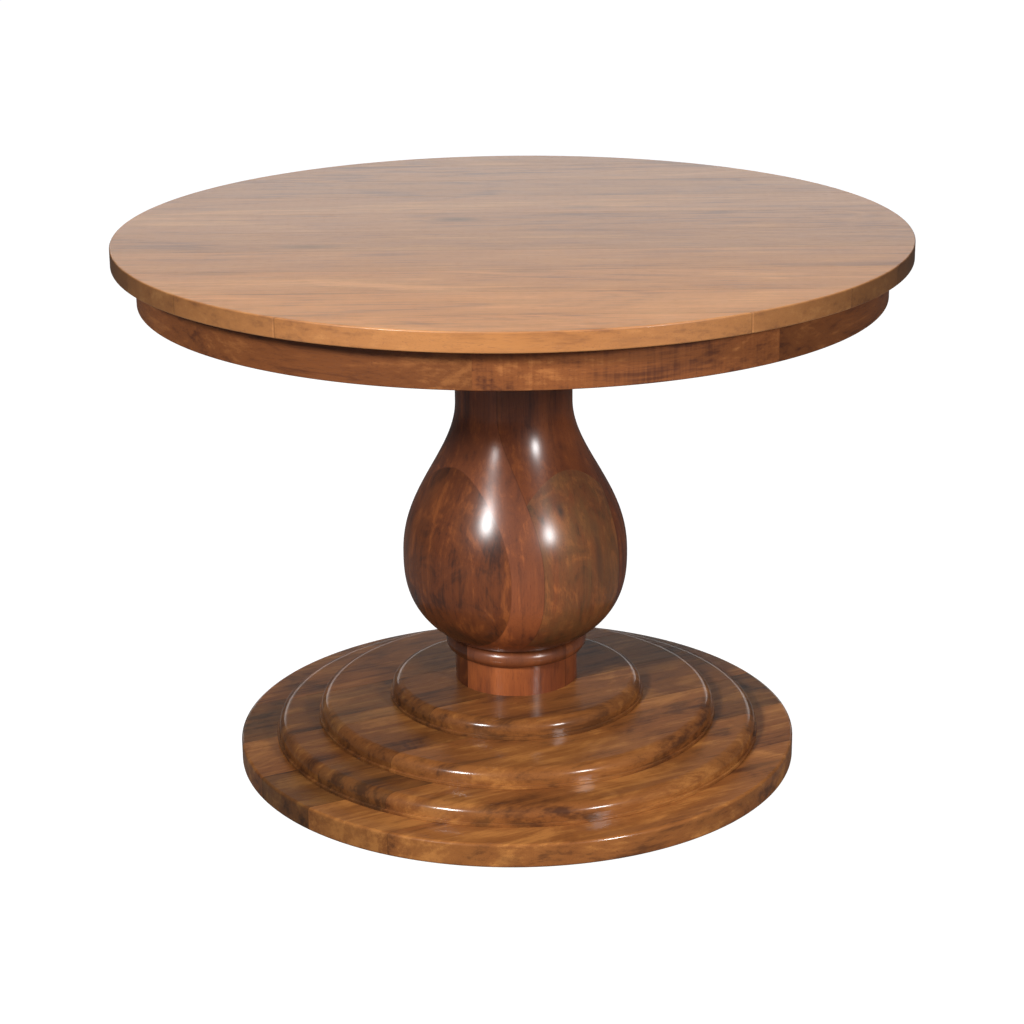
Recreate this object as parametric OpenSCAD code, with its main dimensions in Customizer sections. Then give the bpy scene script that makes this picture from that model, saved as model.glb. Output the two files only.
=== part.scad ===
// Round pedestal table: a boarded disc top on an apron ring, a turned and laminated
// column, and a round base of four stepped tiers.
// Millimetres. +Z is up and the origin is on the floor, on the column's axis.

/* [Table top] */
// Height of the top face above the floor
table_h = 760; // [630:1:920]
// Diameter of the top
top_d = 1080; // [900:1:1300]
// Thickness of the top boards
top_t = 26; // [22:1:35]
// Radius that eases the rims of the top
top_ease = 2; // [1:0.5:4]
// Number of boards glued edge to edge in the top
top_boards = 10; // [8:2:12]
// Width that is cut off the glued panel when the disc is turned
top_trim = 70; // [20:5:100]

/* [Apron] */
// How far the apron stands back from the rim of the top
apron_setback = 32; // [15:1:60]
// Height of the apron
apron_h = 54; // [40:1:80]
// Radial thickness of the apron
apron_t = 38; // [30:1:50]
// Number of segments in the ring
apron_segments = 8; // [6:1:12]
// Direction of the first butt joint, turned from +X
apron_joint_angle = -95.5; // [-180:0.5:180]
// Radius that eases the apron's lower edges
apron_ease = 1.5; // [0.5:0.5:3]
// Angle from a segment's middle to each of its screws
apron_screw_angle = 12; // [5:1:13]

/* [Under the top] */
// Side of the square mounting plate
plate_w = 300; // [240:5:340]
// Thickness of the mounting plate and the battens
plate_t = 28; // [25:1:35]
// Width of a batten
batten_w = 60; // [40:1:80]
// Distance from the axis to the middle of a batten
batten_x = 250; // [220:1:300]
// Gap between a batten's end and the apron
batten_gap = 4; // [2:1:15]

/* [Column] */
// Diameter of the bulb at its widest line
bulb_d = 316; // [260:1:380]
// Height of the widest line above the floor
bulb_mid_z = 300; // [260:1:340]
// Diameter of the bulb where it stands on the foot
bulb_foot_d = 194; // [160:1:220]
// Fullness of the lower half of the bulb
bulb_fullness = 2.5; // [2:0.1:3]
// Height above the floor where the neck begins
neck_z = 522; // [480:1:560]
// Diameter of the neck
neck_d = 163; // [132:1:196]
// Shift of the shoulder towards the bulb
shoulder_shape = 1.12; // [1:0.01:1.3]
// Width of the middle board of the column's core
core_w = 136; // [110:1:160]
// Width of the glued core, between the two broad cheeks
blank_w = 212; // [190:1:240]
// Direction of the broad cheeks' faces, turned from +X
blank_angle = -50; // [-90:1:90]

/* [Foot of the column] */
// Height of the foot, from the base to the bulb
foot_h = 70; // [50:1:90]
// Diameter of the foot
foot_d = 173; // [150:1:200]
// Height of the half-round collar at the top of the foot
collar_h = 26; // [16:1:34]
// Width of the foot's middle block
foot_core_w = 138; // [100:1:144]

/* [Base] */
// Diameter of the lowest tier
base_d = 792; // [660:1:950]
// Thickness of the lowest tier
base_t = 34; // [28:1:45]
// Radius that eases the rims of the lowest tier
base_ease = 4; // [2:0.5:8]
// Diameter of the second tier
tier_2_d = 690; // [600:1:780]
// Diameter of the third tier
tier_3_d = 568; // [480:1:660]
// Diameter of the highest tier
tier_4_d = 362; // [300:1:440]
// Thickness of a moulded tier
tier_t = 26; // [21:0.5:32]
// Height of the square lip at the foot of the moulding
lip_h = 5; // [3:0.5:6]
// Width of the step between the lip and the quarter round
lip_step = 3; // [1:0.5:5]
// Radius of the quarter round
round_r = 15; // [8:0.5:18]
// Width of the boards in the tiers
tier_board_w = 120; // [100:1:160]
// Direction of the boards in the tiers, turned from +X
tier_angle = 27; // [-90:1:90]

/* [Feet] */
// Number of glides under the base
glides = 8; // [4:1:12]
// Diameter of a glide
glide_d = 38; // [20:1:50]
// How far a glide stands out of the base
glide_proud = 2; // [1:0.5:5]
// How deep a glide is let into the base
glide_sunk = 2; // [1:0.5:4]
// Distance from the edge of the base to the middle of a glide
glide_inset = 36; // [28:1:60]

/* [Fixings] */
// Length of the wood screws under the top
screw_l = 45; // [37:1:50]
// Depth that a tier's screws go into the piece above
tier_screw_bite = 19; // [14:0.5:21]
// Depth to which screw heads are sunk in the lowest tier
base_screw_sink = 6; // [5:1:12]
// Diameter of a screw's shank
screw_d = 5; // [4:0.1:6]
// Diameter of a screw's head
screw_head_d = 9.6; // [8:0.1:12]
// Height of a screw's countersunk head
screw_head_h = 4; // [3:0.1:5]
// Clearance around a screw's shank
screw_gap = 0.1; // [0.05:0.05:0.5]
// Diameter of the tie rod
rod_d = 12; // [8:1:16]
// Clearance around the tie rod
rod_gap = 0.5; // [0.2:0.1:1]
// Width of a rod nut across its flats
nut_w = 18; // [13:1:24]
// Height of a rod nut
nut_h = 10; // [6:1:13]
// Diameter of a rod washer
washer_d = 37; // [28:1:44]
// Thickness of a rod washer
washer_t = 3; // [2:0.5:4]
// Length of rod that stands out of a nut
rod_end = 3; // [1:0.5:5]
// Diameter of the dowels between the foot and the bulb
dowel_d = 12; // [8:1:16]
// Length of the dowels
dowel_l = 50; // [30:1:60]
// Distance from the axis to a dowel
dowel_x = 42; // [35:1:50]

/* [Hidden] */
// Each tier has one board fewer than the tier below it
tier_1_boards = 6;
function tier_boards(k) = tier_1_boards + 1 - k;

// Colours
top_colour = "BurlyWood";
wood_colour = "Sienna";
dark_wood_colour = "SaddleBrown";
raw_wood_colour = "Tan";
steel_colour = "Silver";
glide_colour = "DimGray";

// Facets of a large turned face, of a small one, and of a moulded corner
fine = 256;
small = 48;
corner_steps = 5;
curve_steps = 20;

// A hair's breadth, how far a cutter reaches past its work, and beyond every piece
eps = 0.01;
over = 1;
far = 2 * top_d;

// Heights, from the top down
top_z = table_h - top_t;
apron_r = top_d / 2 - apron_setback;
apron_z = top_z - apron_h;
plate_z = top_z - plate_t;
top_board_w = (top_d + top_trim) / top_boards;
batten_half = sqrt(pow(apron_r - apron_t - batten_gap, 2) - pow(batten_x + batten_w / 2, 2));

// Heights, from the floor up
tier_1_z = glide_proud;
tier_2_z = tier_1_z + base_t;
foot_z = tier_2_z + 3 * tier_t;
bulb_z = foot_z + foot_h;
collar_z = bulb_z - collar_h;
function tier_z(k) = k == 1 ? tier_1_z : tier_2_z + (k - 2) * tier_t;
function tier_height(k) = k == 1 ? base_t : tier_t;
function tier_r(k) = [base_d, tier_2_d, tier_3_d, tier_4_d][k - 1] / 2;

// Tie rod, in a counterbore at each end that it stays back from by rod_recess
rod_recess = 1;
rod_sink = washer_t + nut_h + rod_end + rod_recess;
rod_low = tier_1_z + rod_sink - washer_t;
rod_high = top_z - rod_sink + washer_t;

// ---- Curves ----

// Points on an arc of radius r about [x, z], from angle a to angle b
function arc(x, z, r, a, b, steps) =
    [for (i = [0:steps]) let (t = a + (b - a) * i / steps) [x + r * cos(t), z + r * sin(t)]];

// Outline of a disc from height z to z + h with both rims eased
function disc_outline(r, z, h, ease) = concat(
    [[0, z]],
    arc(r - ease, z + ease, ease, -90, 0, corner_steps),
    arc(r - ease, z + h - ease, ease, 0, 90, corner_steps),
    [[0, z + h]]
);

// Outline of a moulded tier: a square lip, a step and a quarter round
function moulded_outline(r, z, h) = concat(
    [[0, z], [r, z], [r, z + lip_h], [r - lip_step, z + lip_h]],
    arc(r - lip_step - round_r, z + h - round_r, round_r, 0, 90, 2 * corner_steps),
    [[0, z + h]]
);

// Radius of the bulb's lower half at height z, a full curve that closes in on the foot
function bulb_low_r(z) =
    let (drop = (bulb_mid_z - z) / (bulb_mid_z - bulb_z), foot = bulb_foot_d / bulb_d)
    bulb_d / 2 * sqrt(1 - pow(drop, bulb_fullness) * (1 - foot * foot));

// Radius of the bulb's upper half at height z, one S curve into the neck
function bulb_high_r(z) =
    let (rise = pow((z - bulb_mid_z) / (neck_z - bulb_mid_z), shoulder_shape))
    neck_d / 2 + (bulb_d - neck_d) / 2 * (1 + cos(180 * rise)) / 2;

function between(a, b, steps) = [for (i = [0:steps]) a + (b - a) * i / steps];

// Outline of the bulb and neck. The steps of the lower half shorten towards the foot.
function bulb_outline() = concat(
    [[0, bulb_z]],
    [for (t = between(0, 1, curve_steps))
        let (z = bulb_z + (bulb_mid_z - bulb_z) * (1 - cos(90 * t))) [bulb_low_r(z), z]],
    [for (z = between(bulb_mid_z, neck_z, curve_steps)) if (z > bulb_mid_z) [bulb_high_r(z), z]],
    [[neck_d / 2, plate_z], [0, plate_z]]
);

// Outline of the foot: a plain neck with a half-round collar above it
function foot_outline() = concat(
    [[0, foot_z], [foot_d / 2, foot_z]],
    arc(foot_d / 2, collar_z + collar_h / 2, collar_h / 2, -90, 90, 3 * corner_steps),
    [[0, bulb_z]]
);

module turned(outline) {
    rotate_extrude($fn = fine) polygon(outline);
}

// ---- Screws, as [x, y, z of the head, +1 upwards or -1 downwards, depth of sink, length] ----

// Distances from screws to the edges and ends of what they hold
plate_screw_edge = 18;
plate_screw_end = 30;
batten_screw_end = 15;
tier_screw_inset = 42;

// A tier's screws pass through it and bite in the next
tier_screw_l = tier_t + tier_screw_bite;

plate_rows = [top_board_w / 2, plate_w / 2 - plate_screw_edge];
plate_screw_x = plate_w / 2 - plate_screw_end;
plate_screws = [for (x = [-1, 1], y = [-1, 1], row = plate_rows)
    [x * plate_screw_x, y * row, plate_z, 1, 0, screw_l]];

// One screw for every board that a batten crosses
batten_rows = [for (i = [1:top_boards]) (i - 0.5 - top_boards / 2) * top_board_w];
batten_screws = [for (x = [-1, 1], y = batten_rows)
    if (abs(y) < batten_half - batten_screw_end) [x * batten_x, y, plate_z, 1, 0, screw_l]];

top_screw_list = concat(plate_screws, batten_screws);

apron_screw_r = apron_r - apron_t / 2;
apron_screw_list = [for (i = [1:apron_segments], side = [-1, 1])
    let (a = segment_angle(i) + side * apron_screw_angle)
    [apron_screw_r * cos(a), apron_screw_r * sin(a), plate_z, 1, apron_h - plate_t, screw_l]];

column_screw_r = 56;
column_screw_list = [for (a = [0:90:270])
    [column_screw_r * cos(a), column_screw_r * sin(a), top_z, -1, 0, screw_l]];

// Each tier is screwed upwards into the piece that stands on it
tier_screw_count = [8, 6, 6, 4];
function tier_screw_r(k) = k == 4 ? column_screw_r : tier_r(k + 1) - tier_screw_inset;
function tier_screws_at(k) = [for (i = [1:tier_screw_count[k - 1]])
    let (a = tier_angle + (i - 0.5) * 360 / tier_screw_count[k - 1], sink = k == 1 ? base_screw_sink : 0)
    [tier_screw_r(k) * cos(a), tier_screw_r(k) * sin(a), tier_z(k) + sink, 1, sink, tier_screw_l]];
tier_screw_list = [for (k = [1:4], s = tier_screws_at(k)) s];

function segment_angle(i) = apron_joint_angle + (i - 0.5) * 360 / apron_segments;

screw_r = screw_d / 2;
screw_head_r = screw_head_d / 2;
screw_rim = 0.5;
screw_tip = 8;
screw_room = 0.5;

// A countersunk wood screw of length l with its head at the origin, pointing up
module screw_solid(l) {
    rotate_extrude($fn = small) polygon([
        [0, 0], [screw_head_r, 0], [screw_head_r, screw_rim], [screw_r, screw_head_h],
        [screw_r, l - screw_tip], [0, l]
    ]);
}

// The hole for one screw: sink, countersink and clearance for the shank
module screw_hole(sink, l) {
    hole_r = screw_r + screw_gap;
    neck = screw_head_h - (screw_head_h - screw_rim) * screw_gap / (screw_head_r - screw_r);
    rotate_extrude($fn = small) polygon([
        [0, -sink - eps], [screw_head_r, -sink - eps], [screw_head_r, screw_rim], [hole_r, neck],
        [hole_r, l + screw_room], [0, l + screw_room]
    ]);
}

module placed(s) {
    translate([s[0], s[1], s[2]]) rotate([s[3] > 0 ? 0 : 180, 0, 0]) children();
}

module screws(list) {
    color(steel_colour) for (s = list) placed(s) screw_solid(s[5]);
}

// Drills the holes of a list of screws out of a piece
module drilled(list) {
    difference() {
        children();
        for (s = list) placed(s) screw_hole(s[4], s[5]);
    }
}

// ---- Boards ----

// A board of a glued panel, number i of count. The outer boards take what is left.
module board_slab(i, count, w, z, h) {
    low = i == 1 ? -far : (i - 1 - count / 2) * w;
    high = i == count ? far : (i - count / 2) * w;
    translate([-far, low, z - over]) cube([2 * far, high - low, h + 2 * over]);
}

// The screws of a list that reach a board, where angle is the direction of the boards
function reaching(list, i, count, w, angle) =
    let (low = i == 1 ? -far : (i - 1 - count / 2) * w, high = i == count ? far : (i - count / 2) * w)
    [for (s = list)
        let (y = s[1] * cos(angle) - s[0] * sin(angle))
        if (y > low - screw_head_r && y < high + screw_head_r) s];

module top_board(i) {
    list = reaching(concat(top_screw_list, apron_screw_list), i, top_boards, top_board_w, 0);
    color(top_colour) drilled(list) intersection() {
        turned(disc_outline(top_d / 2, top_z, top_t, top_ease));
        board_slab(i, top_boards, top_board_w, top_z, top_t);
    }
}

module rod_hole() {
    cylinder(h = table_h, d = rod_d + 2 * rod_gap, $fn = small);
}

// Counterbore for a washer and nut, from height z upwards
module washer_sink(z) {
    translate([0, 0, z]) cylinder(h = rod_sink + over, d = washer_d + 2 * rod_gap, $fn = small);
}

// ---- Apron ----

module apron_segment(i) {
    half = 180 / apron_segments;
    mine = [for (s = apron_screw_list) if (abs(turn(atan2(s[1], s[0]) - segment_angle(i))) < half) s];
    inner = apron_r - apron_t;
    color(wood_colour) drilled(mine)
        rotate([0, 0, segment_angle(i) - half])
            rotate_extrude(angle = 2 * half, $fn = fine) polygon(concat(
                arc(inner + apron_ease, apron_z + apron_ease, apron_ease, 180, 270, corner_steps),
                arc(apron_r - apron_ease, apron_z + apron_ease, apron_ease, -90, 0, corner_steps),
                [[apron_r, top_z], [inner, top_z]]
            ));
}

// An angle brought into the range -180 to 180
function turn(a) = a - 360 * round(a / 360);

// ---- Under the top ----

// Corner cut off the mounting plate
plate_cut = 20;

module mounting_plate() {
    h = plate_w / 2;
    c = h - plate_cut;
    color(raw_wood_colour) drilled(concat(plate_screws, column_screw_list)) difference() {
        translate([0, 0, plate_z]) linear_extrude(plate_t)
            polygon([[h, -c], [h, c], [c, h], [-c, h], [-h, c], [-h, -c], [-c, -h], [c, -h]]);
        rod_hole();
        washer_sink(rod_high - washer_t);
    }
}

module batten(side) {
    color(raw_wood_colour) drilled([for (s = batten_screws) if (s[0] * side > 0) s])
        translate([side * batten_x - batten_w / 2, -batten_half, plate_z])
            cube([batten_w, 2 * batten_half, plate_t]);
}

// ---- Column ----

// One lamination of the turned bulb and neck, from the box [low u, low v, high u, high v],
// where u runs along the narrow cheeks' normal and v along the broad cheeks' normal
module lamination(low_u, low_v, high_u, high_v) {
    intersection() {
        turned(bulb_outline());
        rotate([0, 0, blank_angle])
            translate([low_u, low_v, bulb_z - over])
                cube([high_u - low_u, high_v - low_v, plate_z - bulb_z + 2 * over]);
    }
}

module core_middle() {
    color(wood_colour) difference() {
        drilled(column_screw_list) lamination(-blank_w / 2, -core_w / 2, blank_w / 2, core_w / 2);
        rod_hole();
        dowel_holes();
    }
}

// A narrow board of the core, side +1 at the back and -1 at the front
module core_side(side) {
    near = side * core_w / 2;
    away = side * blank_w / 2;
    color(wood_colour) drilled(column_screw_list)
        lamination(-far, min(near, away), far, max(near, away));
}

// A cheek on the core's edge, side +1 or -1 along u
module narrow_cheek(side) {
    near = side * blank_w / 2;
    away = side * far;
    color(dark_wood_colour) lamination(min(near, away), -core_w / 2, max(near, away), core_w / 2);
}

// A cheek over the whole face of the core, side +1 or -1 along v
module broad_cheek(side) {
    near = side * blank_w / 2;
    away = side * far;
    color(dark_wood_colour) lamination(-far, min(near, away), far, max(near, away));
}

// Room left for glue beyond each end of a dowel
dowel_room = 1;

module dowel_spots() {
    for (side = [-1, 1]) rotate([0, 0, blank_angle]) translate([side * dowel_x, 0, bulb_z]) children();
}

module dowel_holes() {
    dowel_spots() translate([0, 0, -dowel_l / 2 - dowel_room])
        cylinder(h = dowel_l + 2 * dowel_room, d = dowel_d, $fn = small);
}

module column_dowels() {
    color(raw_wood_colour) dowel_spots() translate([0, 0, -dowel_l / 2])
        cylinder(h = dowel_l, d = dowel_d, $fn = small);
}

// ---- Foot of the column ----

// The part of the turned foot between two planes across X
module foot_block(low, high) {
    color(wood_colour) drilled(tier_screws_at(4)) difference() {
        intersection() {
            turned(foot_outline());
            translate([low, -far, foot_z - over]) cube([high - low, 2 * far, foot_h + 2 * over]);
        }
        rod_hole();
        dowel_holes();
    }
}

module foot_middle() {
    foot_block(-foot_core_w / 2, foot_core_w / 2);
}

module foot_cheek(side) {
    near = side * foot_core_w / 2;
    away = side * far;
    foot_block(min(near, away), max(near, away));
}

// ---- Base ----

// Board i of tier k. Screws come up into it from the tier below.
module tier_board(k, i) {
    count = tier_boards(k);
    list = concat(k > 1 ? tier_screws_at(k - 1) : [], tier_screws_at(k));
    r = tier_r(k);
    z = tier_z(k);
    h = tier_height(k);
    color(k == 1 ? dark_wood_colour : wood_colour)
        drilled(reaching(list, i, count, tier_board_w, tier_angle)) difference() {
            intersection() {
                turned(k == 1 ? disc_outline(r, z, h, base_ease) : moulded_outline(r, z, h));
                rotate([0, 0, tier_angle]) board_slab(i, count, tier_board_w, z, h);
            }
            rod_hole();
            if (k == 1) {
                washer_sink(tier_1_z - over);
                glide_sinks();
            }
        }
}

// Bevel around a glide's lower face
glide_ease = 1;

module glide_spots() {
    for (i = [1:glides]) rotate([0, 0, tier_angle + (i - 0.5) * 360 / glides])
        translate([base_d / 2 - glide_inset, 0, 0]) children();
}

module glide_sinks() {
    glide_spots() cylinder(h = glide_proud + glide_sunk, d = glide_d, $fn = small);
}

module floor_glides() {
    color(glide_colour) glide_spots() rotate_extrude($fn = small) polygon([
        [0, 0], [glide_d / 2 - glide_ease, 0], [glide_d / 2, glide_ease],
        [glide_d / 2, glide_proud + glide_sunk], [0, glide_proud + glide_sunk]
    ]);
}

// ---- Tie rod ----

module tie_rod() {
    low = rod_low - nut_h - rod_end;
    high = rod_high + nut_h + rod_end;
    color(steel_colour) translate([0, 0, low]) cylinder(h = high - low, d = rod_d, $fn = small);
}

module rod_nut() {
    difference() {
        cylinder(h = nut_h, d = nut_w / cos(30), $fn = 6);
        translate([0, 0, -over]) cylinder(h = nut_h + 2 * over, d = rod_d, $fn = small);
    }
}

module rod_washer() {
    difference() {
        cylinder(h = washer_t, d = washer_d, $fn = small);
        translate([0, 0, -over]) cylinder(h = washer_t + 2 * over, d = rod_d + 2 * rod_gap, $fn = small);
    }
}

module rod_nuts() {
    color(steel_colour) {
        translate([0, 0, rod_low - nut_h]) rod_nut();
        translate([0, 0, rod_high]) rod_nut();
    }
}

module rod_washers() {
    color(steel_colour) {
        translate([0, 0, rod_low]) rod_washer();
        translate([0, 0, rod_high - washer_t]) rod_washer();
    }
}

// ---- Assembly ----

for (i = [1:top_boards])
    top_board(i);
for (i = [1:apron_segments])
    apron_segment(i);
mounting_plate();
batten(-1);  // batten_left
batten(1);  // batten_right
core_middle();
core_side(-1);  // core_front
core_side(1);  // core_back
broad_cheek(-1);  // cheek_front_left
broad_cheek(1);  // cheek_back_right
narrow_cheek(1);  // cheek_front_right
narrow_cheek(-1);  // cheek_back_left
foot_middle();
foot_cheek(-1);  // foot_cheek_left
foot_cheek(1);  // foot_cheek_right
for (k = [1:4], i = [1:tier_boards(k)])
    tier_board(k, i);
tie_rod();
rod_nuts();
rod_washers();
column_dowels();
screws(top_screw_list);  // top_screws
screws(apron_screw_list);  // apron_screws
screws(column_screw_list);  // column_screws
screws(tier_screw_list);  // tier_screws
floor_glides();
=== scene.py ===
"""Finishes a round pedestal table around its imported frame.

The boards of the top, the turned column and its foot, and the moulded tiers are made here as
finer pieces. The lowest tier, the apron, the fastenings and what is hidden keep their shape
and get their finish. Metres, with +Z up, the floor at z = 0 and the front towards -Y.
"""

import math

import bmesh
import bpy
from bpy.props import FloatProperty, FloatVectorProperty, IntProperty, PointerProperty
from mathutils import Euler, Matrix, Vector


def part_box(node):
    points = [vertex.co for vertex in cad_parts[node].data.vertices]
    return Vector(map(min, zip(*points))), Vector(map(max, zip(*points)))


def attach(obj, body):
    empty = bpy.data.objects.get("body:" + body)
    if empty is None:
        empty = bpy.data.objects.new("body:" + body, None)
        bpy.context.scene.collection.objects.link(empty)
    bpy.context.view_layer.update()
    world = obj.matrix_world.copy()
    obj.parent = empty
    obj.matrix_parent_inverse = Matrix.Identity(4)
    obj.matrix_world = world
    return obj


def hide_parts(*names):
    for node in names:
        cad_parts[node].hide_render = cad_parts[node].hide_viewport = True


bl_info = {
    "name": "Round pedestal table",
    "version": (1, 0, 0),
    "blender": (4, 5, 0),
    "location": "View3D > Sidebar > Table",
    "description": "Boards, turned column, stepped base and wood finishes of a round table",
    "category": "Object",
}

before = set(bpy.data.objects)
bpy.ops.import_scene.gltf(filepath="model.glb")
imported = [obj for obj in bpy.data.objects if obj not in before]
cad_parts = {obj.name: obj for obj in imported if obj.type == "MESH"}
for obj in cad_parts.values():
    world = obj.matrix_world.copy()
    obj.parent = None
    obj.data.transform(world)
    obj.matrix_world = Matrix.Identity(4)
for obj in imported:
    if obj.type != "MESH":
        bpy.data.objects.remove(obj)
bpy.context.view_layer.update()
BODY = "root"

TOP_NODES = [f"top_board_{i}" for i in range(1, 11)]
APRON_NODES = [f"apron_segment_{i}" for i in range(1, 9)]
TIER_COUNTS = {1: 6, 2: 5, 3: 4, 4: 3}
HIDDEN_TIMBER = ["mounting_plate", "batten_left", "batten_right", "column_dowels"]
STEEL_NODES = [
    "tie_rod", "rod_nuts", "rod_washers",
    "top_screws", "apron_screws", "column_screws", "tier_screws",
]


def tier_nodes(tier):
    return [f"tier_{tier}_board_{i}" for i in range(1, TIER_COUNTS[tier] + 1)]


def whole_box(nodes):
    """Lowest and highest corner of several CAD nodes."""
    corners = [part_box(node) for node in nodes]
    low = Vector(min(c[0][k] for c in corners) for k in range(3))
    high = Vector(max(c[1][k] for c in corners) for k in range(3))
    return low, high


def radius_of(nodes):
    """Radius of the round thing that the CAD nodes, whose joints run along X, make up together."""
    return whole_box(nodes)[1].x


def radius_at_angle(nodes):
    """Radius of a turned disc of boards whose joints lie at any angle."""
    corners = (v.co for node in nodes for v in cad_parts[node].data.vertices)
    return max(math.hypot(place.x, place.y) for place in corners)


# ---- What a user may change ----


def colour(name, description, default):
    return FloatVectorProperty(
        name=name, description=description, subtype="COLOR", size=3, min=0, max=1, default=default
    )


def length(name, description, default):
    return FloatProperty(name=name, description=description, unit="LENGTH", default=default)


def share(name, description, default, high=1.0):
    return FloatProperty(name=name, description=description, min=0, max=high, default=default)


class TableFinish(bpy.types.PropertyGroup):
    """Colours and gloss of the table's woods and fittings."""

    top_light: colour("Top, light", "Pale wood of the top", (0.66, 0.325, 0.128))
    top_mid: colour("Top, middle", "Main colour of the top", (0.505, 0.224, 0.083))
    top_dark: colour("Top, dark", "Streaks of the top", (0.27, 0.112, 0.05))
    rim_light: colour("Apron, light", "Pale wood of the apron", (0.56, 0.205, 0.062))
    rim_mid: colour("Apron, middle", "Main colour of the apron", (0.335, 0.108, 0.033))
    rim_dark: colour("Apron, dark", "Streaks of the apron", (0.14, 0.044, 0.02))
    column_light: colour("Column, light", "Bright patches of the column", (0.36, 0.1, 0.027))
    column_mid: colour("Column, middle", "Main colour of the column", (0.178, 0.046, 0.0165))
    column_dark: colour("Column, dark", "Dark patches of the column", (0.062, 0.019, 0.012))
    base_light: colour("Base, light", "Bright streaks of the base", (0.4, 0.16, 0.042))
    base_mid: colour("Base, middle", "Main colour of the base", (0.225, 0.077, 0.021))
    base_dark: colour("Base, dark", "Dark streaks of the base", (0.078, 0.027, 0.011))
    olive: colour("Olive heartwood", "Grey-green heartwood", (0.1, 0.064, 0.026))
    # The knot colour also paints the broad dark bands of the column, one of which is painted shade
    # at the collar
    knot_and_shade: colour("Knots", "Knots and stained flecks", (0.052, 0.028, 0.019))
    raw_wood: colour("Raw wood", "Plain wood under the top", (0.50, 0.33, 0.18))
    steel: colour("Steel", "Zinc-plated screws and rod", (0.62, 0.62, 0.64))
    felt: colour("Felt", "Glides under the base", (0.06, 0.052, 0.048))
    lacquer_gloss: share("Lacquer", "Strength of the clear lacquer", 0.85)


class TableShape(bpy.types.PropertyGroup):
    """Sizes of the finer pieces."""

    board_width: length("Top board", "Width of a board of the top", 0.115)
    tier_board_width: length("Tier board", "Width of a board of a tier", 0.120)
    tier_turn: FloatProperty(
        name="Tier grain", description="Direction of the boards of the tiers, turned from +X",
        subtype="ANGLE", default=math.radians(27),
    )
    joint_ease: length("Joint ease", "Bevel along a glued joint", 0.00025)
    top_ease: length("Rim ease", "Radius on the rims of the top", 0.002)
    lip_height: length("Lip", "Height of the lip under a tier's moulding", 0.005)
    lip_step: length("Step", "Width of the step over the lip", 0.003)
    round_radius: length("Quarter round", "Radius of a tier's moulding", 0.015)
    bulb_radius: length("Bulb", "Radius of the bulb at its widest line", 0.158)
    bulb_widest: length("Widest line", "Height of the bulb's widest line", 0.300)
    bulb_foot_radius: length("Bulb at the foot", "Radius where the bulb meets the foot", 0.097)
    bulb_fullness: share("Fullness", "Fullness of the bulb's lower half", 2.5, 4.0)
    neck_start: length("Neck", "Height where the neck begins", 0.522)
    neck_radius: length("Neck radius", "Radius of the neck", 0.0815)
    shoulder: share("Shoulder", "Shift of the shoulder towards the bulb", 1.12, 2.0)
    core_half: length("Core", "Half the width of the core's middle board", 0.068)
    blank_half: length("Blank", "Half the width of the glued core", 0.106)
    blank_turn: FloatProperty(
        name="Column grain", description="Direction of the column's laminations, turned from +X",
        subtype="ANGLE", default=math.radians(-50),
    )
    foot_radius: length("Foot", "Radius of the foot", 0.0865)
    collar_height: length("Collar", "Height of the half-round collar", 0.026)
    foot_block_half: length("Foot block", "Half the width of the foot's middle block", 0.069)
    arc_points: IntProperty(name="Arc points", description="Points along a board's rim", default=60)


class TableStudio(bpy.types.PropertyGroup):
    """Camera, lights and floor."""

    camera_distance: length("Distance", "Distance of the camera in front of the axis", 3.352)
    camera_height: length("Height", "Height of the camera above the floor", 1.498)
    camera_pitch: FloatProperty(
        name="Pitch", description="How far the camera looks down", subtype="ANGLE",
        default=math.radians(18.79),
    )
    camera_roll: FloatProperty(
        name="Roll", description="Tilt of the camera", subtype="ANGLE", default=-0.0105
    )
    camera_yaw: FloatProperty(
        name="Yaw", description="Turn of the camera to the side", subtype="ANGLE", default=0.0012
    )
    camera_lens: FloatProperty(
        name="Lens", description="Focal length", unit="CAMERA", default=88.6
    )
    sky_strength: FloatProperty(name="Sky", description="Strength of the even light", default=0.09)
    softbox_power: FloatProperty(
        name="Softboxes", description="Power of the left softbox", default=200.0
    )
    softbox_distance: length("Softbox distance", "Distance of the softboxes from the table", 5.0)
    backdrop_power: FloatProperty(
        name="Backdrop", description="Power of the glow behind", default=60.0
    )
    overhead_power: FloatProperty(
        name="Overhead", description="Power of the light above", default=8.0
    )
    floor_glow: share("Floor glow", "How much floor and sky shine towards the camera", 1.0)
    floor_colour: colour("Floor", "Colour of the floor", (0.2, 0.2, 0.2))
    floor_radius: length("Floor", "Radius of the floor", 30.0)


# ---- Shader maths ----


class Value:
    """A number, vector or colour in a material, which adds its Math nodes as it is worked with."""

    def __init__(self, sheet, socket):
        self.sheet = sheet
        self.socket = socket

    def maths(self, operation, *others):
        return self.sheet.maths(operation, self, *others)

    def __add__(self, other):
        return self.sheet.maths("ADD", self, other)

    def __sub__(self, other):
        return self.sheet.maths("SUBTRACT", self, other)

    def __rsub__(self, other):
        return self.sheet.maths("SUBTRACT", other, self)

    def __mul__(self, other):
        return self.sheet.maths("MULTIPLY", self, other)

    def __truediv__(self, other):
        return self.sheet.maths("DIVIDE", self, other)

    def __pow__(self, other):
        return self.sheet.maths("POWER", self, other)

    __radd__ = __add__
    __rmul__ = __mul__


# Sockets of a Mix node that works on colours
MIX_FACTOR, MIX_A, MIX_B, MIX_RESULT = 0, 6, 7, 2


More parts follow.
